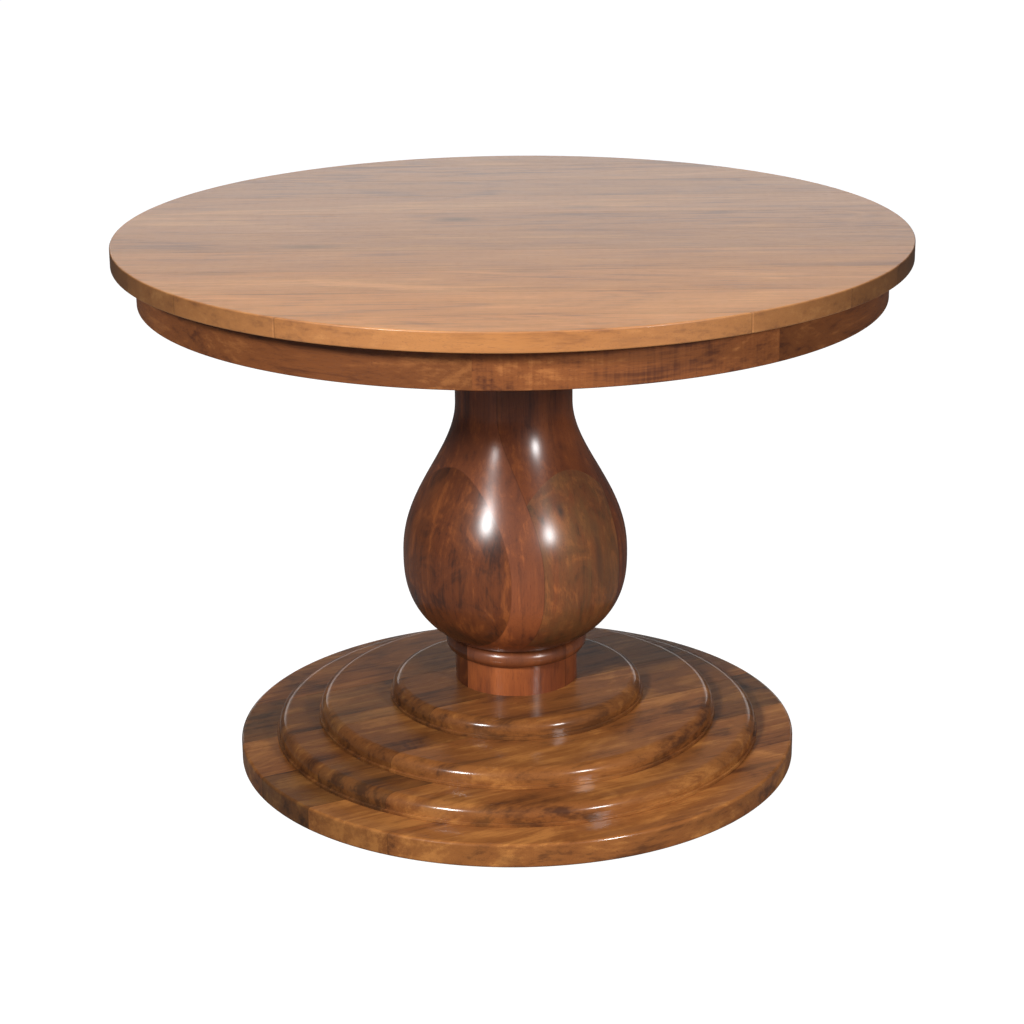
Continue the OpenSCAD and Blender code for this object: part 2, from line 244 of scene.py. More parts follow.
class Sheet:
    """The node tree of one material or of the sky."""

    def __init__(self, owner):
        self.owner = owner
        owner.use_nodes = True
        self.tree = owner.node_tree
        self.tree.nodes.clear()

    def node(self, kind, settings=None, inputs=None):
        """Adds a node: its settings first, then the values or links of its sockets."""
        made = self.tree.nodes.new("ShaderNode" + kind)
        for key, value in (settings or {}).items():
            setattr(made, key, value)
        for key, value in (inputs or {}).items():
            self.feed(made.inputs[key], value)
        return made

    def feed(self, socket, value):
        if isinstance(value, Value):
            self.tree.links.new(value.socket, socket)
        elif socket.type == "RGBA" and len(value) == 3:
            socket.default_value = (*value, 1)
        else:
            socket.default_value = value

    def out(self, made, name=0):
        return Value(self, made.outputs[name])

    def maths(self, operation, *values):
        return self.out(self.node("Math", {"operation": operation}, dict(enumerate(values))))

    def vector(self, operation, *values, result=0):
        made = self.node("VectorMath", {"operation": operation}, dict(enumerate(values)))
        return self.out(made, result)

    def joined(self, x, y, z):
        return self.out(self.node("CombineXYZ", None, {"X": x, "Y": y, "Z": z}))

    def noise(self, place, scale=1.0, detail=2.0, roughness=0.5, distortion=0.0):
        inputs = {
            "Vector": place, "Scale": scale, "Detail": detail,
            "Roughness": roughness, "Distortion": distortion,
        }
        return self.out(self.node("TexNoise", None, inputs), "Fac")

    def stretched(self, place, stretch, detail, roughness, distortion=0.0):
        """Noise that repeats that often in a metre of each axis."""
        return self.noise(self.vector("MULTIPLY", place, stretch), 1, detail, roughness, distortion)

    def between(self, value, low, high, to_low=0.0, to_high=1.0):
        """value brought smoothly from the range low to high into the range to_low to to_high."""
        inputs = {
            "Value": value, "From Min": low, "From Max": high,
            "To Min": to_low, "To Max": to_high,
        }
        return self.out(self.node("MapRange", {"interpolation_type": "SMOOTHSTEP"}, inputs))

    def mix(self, factor, first, second, blend="MIX"):
        settings = {"data_type": "RGBA", "blend_type": blend, "clamp_factor": True}
        made = self.node("Mix", settings, {MIX_FACTOR: factor, MIX_A: first, MIX_B: second})
        return self.out(made, MIX_RESULT)

    def own(self, name):
        """A number that each piece carries itself, such as its tone."""
        settings = {"attribute_type": "OBJECT", "attribute_name": name}
        return self.out(self.node("Attribute", settings), "Fac")

    def shader(self, colour_value, roughness, normal, **constants):
        """Ends the material in a Principled BSDF. Constants stay on the shader's own sockets."""
        inputs = {"Base Color": colour_value, "Roughness": roughness, "Normal": normal, **constants}
        body = self.node("BsdfPrincipled", None, inputs)
        self.node("OutputMaterial", None, {"Surface": self.out(body)})
        return self.owner

    def bump(self, height, distance):
        return self.out(self.node("Bump", None, {"Height": height, "Distance": distance}))


# ---- Finishes ----

# A board's edge that has no neighbour lies this far out
NO_JOINT = 9.0


def mark(number, along, across, long, wide, deep):
    """One dark fleck in a piece of wood, or a broad dark band, one of which is painted shade: its
    place, half length, half width and depth.
    """
    values = {"along": along, "across": across, "long": long, "wide": wide, "deep": deep}
    return {f"mark_{number}_{key}": value for key, value in values.items()}


# What a piece of wood carries: the direction of its grain, a seed that shifts its figure, where the
# log's heart lies across it, how light, olive, flamed, blotched and rippled it is, its two edges
# and up to two marks. How light it is, its tone, is partly painted light on the top's front boards
# and on the column's front core board.
TIMBER_OWN = {
    "grain_turn": 0.0, "seed": 0.0, "heart": 0.0,
    "tone_and_light": 1.0, "olive": 0.0, "flame": 0.0, "blotch": 1.0, "ripple": 0.0,
    "edge_low": -NO_JOINT, "edge_high": NO_JOINT,
    **mark(1, 0.0, 0.0, 1.0, 1.0, 0.0), **mark(2, 0.0, 0.0, 1.0, 1.0, 0.0),
}

# Layers of the figure: how often each repeats in a metre along, across and through the wood,
# then its detail, roughness and distortion
LAYERS = {
    "sway": ((1.6, 5.0, 5.0), 3, 0.5),
    "fibre": ((9, 420, 420), 3, 0.6),
    "streak": ((2.2, 46, 46), 4, 0.6, 0.2),
    "thread": ((6, 150, 150), 3, 0.55, 0.1),
    "pores": ((70, 1500, 1500), 1, 0.4),
    "ripple": ((240, 16, 16), 2, 0.5),
    "flame": ((7, 15, 15), 3, 0.5, 0.5),
    "wave": ((14, 34, 34), 2, 0.4),
}
CLOUD_ALONG, CLOUD_ACROSS = 6, 17
DASH_ALONG, DASH_ACROSS = 4.5, 40
# Detail, roughness and distortion of the other layers; the clouds' distortion grows with swirl
BAND_NOISE, GROWTH_NOISE = (5, 0.62, 0.15), (2, 0.5)
CLOUD_NOISE, CLOUD_SWIRL, DASH_NOISE = (5, 0.62), 0.9, (4, 0.62, 0.35)
# How far each layer lightens and darkens the wood
BAND_WEIGHT, GROWTH_WEIGHT, FIBRE_WEIGHT = 1.15, 0.55, 0.4
STREAK_WEIGHT, THREAD_WEIGHT, CLOUD_WEIGHT = 0.9, 0.75, 1.3
# Where a layer begins and ends to show
LIGHT_RANGE, DARK_RANGE = (0.5, 1.05), (0.5, -0.05)
PORE_RANGE, FLAME_RANGE, DASH_RANGE = (0.60, 0.72), (0.35, 0.75), (0.55, 0.74)
OLIVE_RANGE = (0.25, 0.7, 0.35, 1.0)

# The log: bands in a metre, growth rings in a band, how both change along it and from seed to
# seed, how deep the heart lies, how it tapers, how much its depth counts, and how far the grain
# sways sideways and in depth
RING_BANDS = 26.0
RINGS_IN_BAND = 7
BAND_ALONG, GROWTH_ALONG = 0.5, 1.2
BAND_SEED_ALONG, BAND_SEED, GROWTH_SEED = 3.1, 5.3, 2.9
HEART_DEPTH = 0.055
LOG_TAPER = 0.06
DEPTH_SHARE = 0.6
SWAY_SIDE, SWAY_DEPTH = 0.05, 0.04
SEED_SHIFT = (1.37, 0.71, 0.53)

# A mark's ragged outline, and how far around it and how much it bends the bands
MARK_SWAY = 0.012
PULL_REACH = 3.0
PULL_BANDS = 0.012

# A glued joint's dark line: its half width, where it fades out and where it is full, as shares
GLUE_LINE = 0.0004
LINE_FADE, LINE_FULL = 2.5, 0.3
# How much pores and glue lines darken, and how much green and blue the upright faces lose where the
# flanks are darkened
PORE_SHADE, LINE_SHADE = 0.45, 0.3
FLANK_GREEN, FLANK_BLUE = 0.3, 0.8
# How far each layer stands out of the surface, as shares of the relief's depth
RELIEF_DEPTH = 0.00006
FIBRE_RELIEF, PORE_RELIEF, LINE_RELIEF, STREAK_RELIEF, WAVE_RELIEF = -0.35, -1.0, -1.5, 0.3, 6.0
# How much each layer changes the gloss
FIBRE_ROUGH, CLOUD_ROUGH, PORE_ROUGH = 0.12, 0.10, 0.12
COAT_IOR = 1.5
# Raw wood's light and dark, as shares of its colour
RAW_LIGHT, RAW_DARK = 1.2, 0.45

# How each wood is figured and finished
TIMBERS = {
    "top_timber": dict(
        colours="top", contrast=0.95, gloss=0.40, lacquer=0.25, fine=1.3, fleck=0.4,
        edge_shade=0.34,
    ),
    "apron_timber": dict(
        colours="rim", contrast=0.95, gloss=0.42, lacquer=0.3, specular=0.15, fine=1.4, fleck=0.2,
    ),
    "column_timber": dict(
        colours="column", upright=True, contrast=1.15, gloss=0.5, lacquer=1.0, figure=1.1,
        specular=0.1, coat_rough=0.24, fine=0.9, fleck=0.4, swirl=1.7,
    ),
    "base_timber": dict(
        colours="base", contrast=1.3, gloss=0.5, lacquer=0.68, figure=0.7, specular=0.06,
        coat_rough=0.15, fine=0.8, fleck=0.45, swirl=1.4, end_shade=0.35,
    ),
    "raw_timber": dict(colours="raw", contrast=0.7, gloss=0.62),
}


def wood_colours(finish, kind):
    """Light, middle and dark colour of a wood. Raw wood has one, made lighter and darker."""
    if kind == "raw":
        raw = finish.raw_wood
        return [c * RAW_LIGHT for c in raw], raw, [c * RAW_DARK for c in raw]
    return [getattr(finish, f"{kind}_{depth}") for depth in ("light", "mid", "dark")]


def timber(name, finish, colours, upright=False, contrast=1.0, gloss=0.3, lacquer=0.0,
           figure=1.0, specular=0.5, coat_rough=0.13, fine=1.0, fleck=0.4, edge_shade=0.0,
           swirl=1.0, end_shade=0.72):
    """A wood with bands that follow the growth of the log, fibres, pores, blotches and marks."""
    light, mid, dark = wood_colours(finish, colours)
    s = Sheet(bpy.data.materials.new(name))
    place = s.out(s.node("TexCoord"), "Object")
    parts = s.node("SeparateXYZ", None, {0: place})
    x, y, z = (s.out(parts, axis) for axis in "XYZ")
    turn = s.own("grain_turn")
    cos, sin = turn.maths("COSINE"), turn.maths("SINE")
    lengthways, across = x * cos + y * sin, y * cos - x * sin
    along, deep = (z, lengthways) if upright else (lengthways, z)
    seed = s.own("seed")
    axes = (along, across, deep)
    grain = s.joined(*(axis + seed * shift for axis, shift in zip(axes, SEED_SHIFT)))
    layer = {key: s.stretched(grain, *values) for key, values in LAYERS.items()}
    sway, fibre, streak = layer["sway"] - 0.5, layer["fibre"], layer["streak"]

    marks, pull = 0.0, 0.0
    for k in (1, 2):
        away = s.vector("LENGTH", s.joined(
            (along - s.own(f"mark_{k}_along")) / s.own(f"mark_{k}_long"),
            (across - s.own(f"mark_{k}_across") + sway * MARK_SWAY) / s.own(f"mark_{k}_wide"),
            0.0,
        ), result="Value")
        marks = s.between(away, 1.0, 0.0) * s.own(f"mark_{k}_deep") + marks
        pull = s.between(away, PULL_REACH, 0.0) * s.own(f"mark_{k}_deep") + pull

    # Distance from the heart of the log, which the bands follow
    beside = across - s.own("heart") + sway * SWAY_SIDE
    under = deep * DEPTH_SHARE + along * LOG_TAPER + sway * SWAY_DEPTH + HEART_DEPTH
    ring = s.vector("LENGTH", s.joined(beside, under, 0.0), result="Value") + pull * PULL_BANDS
    bands = s.noise(s.joined(
        ring * RING_BANDS, along * BAND_ALONG + seed * BAND_SEED_ALONG, seed * BAND_SEED
    ), 1, *BAND_NOISE)
    growth = s.noise(s.joined(
        ring * RING_BANDS * RINGS_IN_BAND, along * GROWTH_ALONG, seed * GROWTH_SEED
    ), 1, *GROWTH_NOISE)
    cloud_stretch = (CLOUD_ALONG * figure * swirl, CLOUD_ACROSS * figure, CLOUD_ACROSS * figure)
    cloud = s.stretched(grain, cloud_stretch, *CLOUD_NOISE, CLOUD_SWIRL * swirl)
    dash_stretch = (DASH_ALONG, DASH_ACROSS * figure, DASH_ACROSS * figure)
    dashes = s.stretched(grain, dash_stretch, *DASH_NOISE)

    # How light or dark the figure is, about 0.5
    level = (bands - 0.5) * BAND_WEIGHT + (growth - 0.5) * (GROWTH_WEIGHT * fine)
    level = level + (fibre - 0.5) * (FIBRE_WEIGHT * fine) + (streak - 0.5) * STREAK_WEIGHT
    level = level + (layer["thread"] - 0.5) * (THREAD_WEIGHT * fine)
    level = level + (cloud - 0.5) * CLOUD_WEIGHT * s.own("blotch")
    level = level + (layer["ripple"] - 0.5) * s.own("ripple")
    level = level * contrast + 0.5
    pores = s.between(layer["pores"], *PORE_RANGE)
    flame = s.between(layer["flame"], *FLAME_RANGE) * s.own("flame")
    olive = s.own("olive") * s.between(streak, *OLIVE_RANGE)
    shade = s.mix(s.between(level, *LIGHT_RANGE), mid, light)
    shade = s.mix(s.between(level, *DARK_RANGE), shade, dark)
    shade = s.mix(flame, shade, light)
    shade = s.mix(olive, shade, finish.olive)
    shade = s.mix(s.between(dashes, *DASH_RANGE) * fleck, shade, dark)
    # Knots and flecks, and broad dark bands: the one at the collar is painted shade, the one down
    # the front core board darkens the bulb under that board's painted light
    shade = s.mix(marks, shade, finish.knot_and_shade)
    shade = s.mix(pores * PORE_SHADE, shade, dark)

    # End grain drinks more stain, upright faces are made darker and more saturated, and a thin dark
    # line shows in every glued joint
    facing = s.out(s.node("TexCoord"), "Normal")
    faces = s.node("SeparateXYZ", None, {0: facing})
    fx, fy, fz = (s.out(faces, axis) for axis in "XYZ")
    end_grain = (fz if upright else fx * cos + fy * sin) ** 2
    glue = (across - s.own("edge_low")).maths("MINIMUM", s.own("edge_high") - across)
    line = s.between(glue.maths("ABSOLUTE"), LINE_FADE * GLUE_LINE, LINE_FULL * GLUE_LINE)
    flank = (1 - fz * fz) * edge_shade
    value = s.own("tone_and_light") * (1 - end_grain * end_shade) * (1 - line * LINE_SHADE) * (1 - flank)
    tint = s.joined(value, value * (1 - flank * FLANK_GREEN), value * (1 - flank * FLANK_BLUE))
    shade = s.mix(1.0, shade, tint, "MULTIPLY")

    relief = fibre * FIBRE_RELIEF + pores * PORE_RELIEF + line * LINE_RELIEF
    relief = relief + streak * STREAK_RELIEF + layer["wave"] * WAVE_RELIEF
    normal = s.bump(relief, RELIEF_DEPTH)
    rough = gloss + (fibre - 0.5) * FIBRE_ROUGH + (cloud - 0.5) * CLOUD_ROUGH + pores * PORE_ROUGH
    return s.shader(shade, rough, normal, **{
        "Specular IOR Level": specular, "Coat Weight": lacquer * finish.lacquer_gloss,
        "Coat Roughness": coat_rough, "Coat IOR": COAT_IOR,
    })


def zinc_steel(name, finish):
    """Zinc plate: a cloudy, faintly brushed metal."""
    s = Sheet(bpy.data.materials.new(name))
    place = s.out(s.node("TexCoord"), "Object")
    brushed = s.stretched(place, (300, 300, 2600), 3, 0.6)
    cloud = s.noise(place, 160, 4, 0.6, 0.4)
    shade = s.mix(s.between(cloud, 0.3, 0.75), finish.steel, [c * 0.72 for c in finish.steel])
    rough = 0.30 + (brushed - 0.5) * 0.25 + (cloud - 0.5) * 0.2
    return s.shader(shade, rough, s.bump(brushed, 0.00003), **{"Metallic": 1.0})


def dense_felt(name, finish):
    """Pressed felt: tangled fibres with lighter ends."""
    s = Sheet(bpy.data.materials.new(name))
    place = s.out(s.node("TexCoord"), "Object")
    tangle = s.noise(place, 900, 5, 0.7, 2.0)
    patch = s.noise(place, 60, 3, 0.5)
    shade = s.mix(s.between(tangle, 0.35, 0.8), finish.felt, [c * 2.6 for c in finish.felt])
    rough = 0.92 + (patch - 0.5) * 0.1
    return s.shader(shade, rough, s.bump(tangle + patch, 0.0006), **{"Sheen Weight": 0.4})


OTHER_FINISHES = {"zinc_steel": zinc_steel, "dense_felt": dense_felt}


def finish_named(name):
    """The material of that name, made when it is first asked for."""
    found = bpy.data.materials.get(name)
    if found:
        return found
    finish = bpy.context.scene.table_finish
    if name in TIMBERS:
        return timber(name, finish, **TIMBERS[name])
    return OTHER_FINISHES[name](name, finish)


def give_finish(piece, material_name, **own):
    """Puts a finish on a piece, with what the piece carries itself."""
    piece.data.materials.clear()
    piece.data.materials.append(finish_named(material_name))
    if material_name in TIMBERS:
        for key, value in {**TIMBER_OWN, **own}.items():
            piece[key] = float(value)


# ---- Mesh tools ----

# Faces that meet at more than this keep a sharp edge, and points this close become one
CREASE = math.radians(33)
WELD = 1e-6


def loft(name, loops):
    """A closed piece through loops of points, which have equal counts and run from low to high."""
    work = bmesh.new()
    rings = [[work.verts.new(point) for point in loop] for loop in loops]
    count = len(rings[0])
    for low, high in zip(rings, rings[1:]):
        for i in range(count):
            j = (i + 1) % count
            work.faces.new((low[i], low[j], high[j], high[i]))
    work.faces.new(list(reversed(rings[0])))
    work.faces.new(rings[-1])
    bmesh.ops.remove_doubles(work, verts=work.verts[:], dist=WELD)
    bmesh.ops.dissolve_degenerate(work, edges=work.edges[:], dist=WELD)
    bmesh.ops.recalc_face_normals(work, faces=work.faces[:])
    mesh = bpy.data.meshes.new(name)
    work.to_mesh(mesh)
    work.free()
    for face in mesh.polygons:
        face.use_smooth = True
    mesh.set_sharp_from_angle(angle=CREASE)
    piece = bpy.data.objects.new(name, mesh)
    bpy.context.scene.collection.objects.link(piece)
    weigh = piece.modifiers.new("Weighted normals", "WEIGHTED_NORMAL")
    weigh.keep_sharp = True
    weigh.weight = 100
    return piece


def stands_for(piece, node):
    """A finer piece takes the place of a CAD node."""
    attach(piece, BODY)
    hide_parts(node)


def keep_node(node, material_name, **own):
    """A CAD node that stays gets its finish."""
    give_finish(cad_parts[node], material_name, **own)


def steps(low, high, count):
    return [low + (high - low) * i / count for i in range(count + 1)]


def arc(x, z, radius, start, end, count):
    """Points on an arc about x, z, with its angles in degrees."""
    turned = [math.radians(a) for a in steps(start, end, count)]
    return [(x + radius * math.cos(t), z + radius * math.sin(t)) for t in turned]


def turned_about_z(points, angle, z):
    cos, sin = math.cos(angle), math.sin(angle)
    return [Vector((a * cos - b * sin, a * sin + b * cos, z)) for a, b in points]


def board_plan(radius, low, high, count):
    """Plan of a board cut out of a disc, between two lines across it."""
    start = math.asin(max(-1.0, min(1.0, low / radius)))
    end = math.asin(max(-1.0, min(1.0, high / radius)))
    right = [(radius * math.cos(t), radius * math.sin(t)) for t in steps(start, end, count)]
    return right + [(-a, b) for a, b in reversed(right)]


def board_edges(i, count, width):
    """Where board i of count begins and ends across the grain. Outer boards take what is left."""
    low = -NO_JOINT if i == 1 else (i - 1 - count / 2) * width
    high = NO_JOINT if i == count else (i - count / 2) * width
    return low, high


def disc_board(name, outline, low, high, angle, ease, count):
    """A board of a round panel. outline holds the rim's radii and heights, from low to high."""
    bottom, top = outline[0][1], outline[-1][1]
    loops = []
    for radius, z in outline:
        bevel = max(0.0, ease - min(z - bottom, top - z))
        plan = board_plan(radius, low + bevel, high - bevel, count)
        loops.append(turned_about_z(plan, angle, z))
    return loft(name, loops)


def with_bevel_levels(outline, ease):
    """Adds the two heights at which a joint's bevel ends, on the way up the rim."""
    bottom, top = outline[0][1], outline[-1][1]
    made = [outline[0]]
    for (r0, z0), (r1, z1) in zip(outline, outline[1:]):
        for z in (bottom + ease, top - ease):
            if z0 < z < z1:
                made.append((r0 + (r1 - r0) * (z - z0) / (z1 - z0), z))
        made.append((r1, z1))
    return made


# ---- The pieces ----

# Points along the ease of the top, a tier's quarter round and the collar
EASE_POINTS, ROUND_POINTS, COLLAR_POINTS = 6, 18, 24

# One row for each board of the top, from the front to the back. The front boards' higher tones are
# painted light: they make the top lighter towards the front, where the softboxes' light falls on
# it.
TOP_LOOKS = [
    dict(seed=1.7, heart=-0.60, tone_and_light=1.52, flame=0.3),
    dict(seed=4.2, heart=-0.33, tone_and_light=1.44, flame=0.2,
         **mark(1, -0.27, -0.345, 0.20, 0.009, 0.4)),
    dict(seed=7.9, heart=-0.42, tone_and_light=1.28, **mark(1, 0.02, -0.240, 0.06, 0.018, 0.28),
         **mark(2, -0.38, -0.235, 0.09, 0.014, 0.35)),
    dict(seed=2.6, heart=-0.10, tone_and_light=1.12),
    dict(seed=9.3, heart=-0.16, tone_and_light=0.97, **mark(1, -0.27, -0.086, 0.075, 0.020, 0.45)),
    dict(seed=5.5, heart=0.03, tone_and_light=1.0, **mark(1, -0.076, 0.076, 0.050, 0.020, 0.6)),
    dict(seed=3.4, heart=0.30, tone_and_light=1.0, **mark(1, 0.10, 0.15, 0.05, 0.014, 0.25)),
    dict(seed=8.8, heart=0.26, tone_and_light=0.95),
    dict(seed=6.1, heart=0.55, tone_and_light=1.02),
    dict(seed=0.9, heart=0.44, tone_and_light=1.0),
]


class TABLE_OT_top(bpy.types.Operator):
    """Makes the boards of the round top"""

    bl_idname = "pedestal_table.top"
    bl_label = "Top boards"

    def execute(self, context):
        shape = context.scene.table_shape
        low, high = whole_box(TOP_NODES)
        ease, radius = shape.top_ease, radius_of(TOP_NODES)
        outline = arc(radius - ease, low.z + ease, ease, -90, 0, EASE_POINTS)
        outline += arc(radius - ease, high.z - ease, ease, 0, 90, EASE_POINTS)
        outline = with_bevel_levels(outline, shape.joint_ease)
        for i, node in enumerate(TOP_NODES, 1):
            edges = board_edges(i, len(TOP_NODES), shape.board_width)
            piece = disc_board(
                f"finished_{node}", outline, *edges, 0.0, shape.joint_ease, shape.arc_points
            )
            stands_for(piece, node)
            give_finish(
                piece, "top_timber", edge_low=edges[0], edge_high=edges[1], blotch=0.8,
                **TOP_LOOKS[i - 1],
            )
        return {"FINISHED"}


# One row for each segment of the apron, all the way round
APRON_LOOKS = [
    dict(seed=2.5, tone_and_light=0.82, ripple=0.6), dict(seed=3.8, tone_and_light=0.56),
    dict(seed=5.2, tone_and_light=0.75), dict(seed=6.6, tone_and_light=0.75),
    dict(seed=8.0, tone_and_light=0.75), dict(seed=9.3, tone_and_light=0.75),
    dict(seed=10.7, tone_and_light=0.58), dict(seed=12.1, tone_and_light=0.60),
]


class TABLE_OT_apron(bpy.types.Operator):
    """Finishes the segments of the apron, whose grain runs straight across each"""

    bl_idname = "pedestal_table.apron"
    bl_label = "Apron"

    def execute(self, context):
        for node, look in zip(APRON_NODES, APRON_LOOKS):
            low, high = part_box(node)
            middle = (low + high) / 2
            along = math.atan2(middle.y, middle.x) + math.pi / 2
            keep_node(node, "apron_timber", grain_turn=along, heart=0.3, blotch=0.9, **look)
        return {"FINISHED"}


# Rings of the bulb's lower half, of its upper half and of the neck
LOWER_RINGS, UPPER_RINGS, NECK_RINGS = 48, 90, 6
# Further rings next to a cheek's tip or corner lie at these shares of a step from it
TIP_STEP = 0.004
TIP_RINGS = (0, 0.02, 0.08, 0.2, 0.4, 0.7)
HALVINGS = 50


def bulb_radius_at(z, low, shape):
    """Radius of the bulb and neck at height z."""
    wide, neck = shape.bulb_radius, shape.neck_radius
    if z <= shape.bulb_widest:
        drop = (shape.bulb_widest - z) / (shape.bulb_widest - low)
        closing = 1 - (shape.bulb_foot_radius / wide) ** 2
        return wide * math.sqrt(max(0.0, 1 - drop ** shape.bulb_fullness * closing))
    if z >= shape.neck_start:
        return neck
    rise = ((z - shape.bulb_widest) / (shape.neck_start - shape.bulb_widest)) ** shape.shoulder
    return neck + (wide - neck) * (1 + math.cos(math.pi * rise)) / 2


def bulb_heights(low, high, shape, least):
    """Heights of the bulb's rings, from low to high, only where its radius is not under least.

    All pieces share the same heights, with more of them where a cheek's tip or corner lies, so
    that neighbours meet without a crack.
    """
    widest = shape.bulb_widest
    lower = [
        widest - (widest - low) * math.sin(math.pi / 2 * t) for t in steps(1, 0, LOWER_RINGS)
    ]
    upper = steps(widest, shape.neck_start, UPPER_RINGS)[1:]
    heights = lower + upper + steps(shape.neck_start, high, NECK_RINGS)[1:]
    for radius in (shape.blank_half, math.hypot(shape.blank_half, shape.core_half)):
        for end in (low, high):
            if bulb_radius_at(end, low, shape) < radius:
                tip = edge_height(end, widest, radius, low, shape)
                inwards = math.copysign(TIP_STEP, widest - end)
                heights += [tip + inwards * k for k in TIP_RINGS]
    return [z for z in sorted(heights) if bulb_radius_at(z, low, shape) >= least]


def edge_height(outside, inside, radius, low, shape):
    """Height between outside and inside where the bulb has that radius, by halving."""
    for _ in range(HALVINGS):
        middle = (outside + inside) / 2
        if bulb_radius_at(middle, low, shape) < radius:
            outside = middle
        else:
            inside = middle
    return inside


def broad_plan(radius, inner, side, count):
    """Plan of a cheek over the whole face of the core."""
    start = math.asin(min(1.0, inner / radius))
    turned = steps(start, math.pi - start, count)
    return [(radius * math.cos(t), side * radius * math.sin(t)) for t in turned]


def narrow_plan(radius, inner, half, side, count):
    """Plan of a cheek on the edge of the core's middle board."""
    reach = min(half, math.sqrt(max(0.0, radius * radius - inner * inner)))
    end = math.asin(min(1.0, reach / radius))
    turned = steps(-end, end, count)
    outer = [(side * max(inner, radius * math.cos(t)), radius * math.sin(t)) for t in turned]
    return outer + [(side * inner, reach), (side * inner, -reach)]


def side_plan(radius, inner, outer, side, count):
    """Plan of a narrow board of the core."""
    return [(a, side * b) for a, b in board_plan(radius, inner, min(outer, radius), count)]


def middle_plan(radius, half_wide, half_long, count):
    """Plan of the core's middle board, round where the bulb is thinner than the board is long."""
    corner = min(half_wide, math.sqrt(max(0.0, radius * radius - half_long * half_long)))
    rows = steps(-half_wide, -corner, count // 2) + steps(-corner, corner, count // 2)
    rows += steps(corner, half_wide, count // 2)
    right = [(min(half_long, math.sqrt(radius * radius - v * v)), v) for v in rows]
    return right + [(-a, b) for a, b in reversed(right)]


# The cheeks over the core's whole face, which are sawn the other way
BROAD_CHEEKS = ("cheek_front_left", "cheek_back_right")
# What each piece of the bulb and neck looks like
COLUMN_LOOKS = {
    "core_middle": dict(seed=3.9, heart=0.02, tone_and_light=1.0, flame=0.6, blotch=0.8),
    # core_front's tone is set high partly as painted light: it lightens the neck, which lies in the
    # shade of the top and apron. Its broad dark band darkens the strip down the bulb again.
    "core_front": dict(seed=6.6, heart=-0.20, tone_and_light=1.62, flame=0.3, blotch=0.8,
                       **mark(1, 0.37, 0.0, 0.24, 9.0, 0.42)),
    "core_back": dict(seed=1.9, heart=0.14, tone_and_light=1.0, flame=0.2),
    "cheek_front_left": dict(seed=12.4, heart=-0.30, tone_and_light=0.84, flame=0.45, olive=0.12,
                             blotch=1.8, **mark(1, 0.30, 0.045, 0.13, 0.06, 0.3),
                             **mark(2, 0.215, -0.03, 0.02, 0.03, 0.7)),
    "cheek_back_right": dict(seed=8.5, heart=0.30, tone_and_light=1.0, flame=0.2, blotch=1.2),
    "cheek_front_right": dict(seed=5.7, heart=0.01, tone_and_light=1.45, olive=0.6, blotch=1.4,
                              **mark(1, 0.397, -0.028, 0.016, 0.010, 0.95),
                              **mark(2, 0.33, 0.02, 0.07, 0.012, 0.6)),
    "cheek_back_left": dict(seed=2.2, heart=-0.05, tone_and_light=1.0, flame=0.2, blotch=1.3),
}


class TABLE_OT_column(bpy.types.Operator):
    """Makes the seven laminations of the turned bulb and neck"""

    bl_idname = "pedestal_table.column"
    bl_label = "Bulb and neck"

    def execute(self, context):
        shape = context.scene.table_shape
        low, high = (corner.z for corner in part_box("core_middle"))
        core, blank, count = shape.core_half, shape.blank_half, shape.arc_points
        outermost = (-NO_JOINT, NO_JOINT)
        plans = {
            "core_middle": (0.0, (-core, core), lambda r: middle_plan(r, core, blank, count)),
            "core_front": (core, (-blank, -core), lambda r: side_plan(r, core, blank, -1, count)),
            "core_back": (core, (core, blank), lambda r: side_plan(r, core, blank, 1, count)),
            "cheek_front_left": (blank, outermost, lambda r: broad_plan(r, blank, -1, count)),
            "cheek_back_right": (blank, outermost, lambda r: broad_plan(r, blank, 1, count)),
            "cheek_front_right": (
                blank, (-core, core), lambda r: narrow_plan(r, blank, core, 1, count)
            ),
            "cheek_back_left": (
                blank, (-core, core), lambda r: narrow_plan(r, blank, core, -1, count)
            ),
        }
        for node, (least, edges, plan) in plans.items():
            loops = [
                turned_about_z(plan(bulb_radius_at(z, low, shape)), shape.blank_turn, z)
                for z in bulb_heights(low, high, shape, least)
            ]
            piece = loft(f"finished_{node}", loops)
            stands_for(piece, node)
            flat_sawn = math.pi / 2 if node in BROAD_CHEEKS else 0.0
            give_finish(
                piece, "column_timber", grain_turn=shape.blank_turn + flat_sawn,
                edge_low=edges[0], edge_high=edges[1], **COLUMN_LOOKS[node],
            )
        return {"FINISHED"}


# Painted shade: a broad dark band at the height of the collar, under the bulb
COLLAR_PAINTED_SHADE = mark(1, 0.172, 0.0, 0.015, 9.0, 0.42)
FOOT_LOOKS = {
    "foot_middle": dict(seed=4.4, heart=0.2, tone_and_light=1.2, flame=0.9, blotch=0.4, **COLLAR_PAINTED_SHADE),
    "foot_cheek_left": dict(seed=9.9, heart=0.4, tone_and_light=0.40, blotch=0.8, **COLLAR_PAINTED_SHADE),
    "foot_cheek_right": dict(
        seed=7.3, heart=-0.3, tone_and_light=1.35, flame=0.2, blotch=0.8, **COLLAR_PAINTED_SHADE
    ),
}


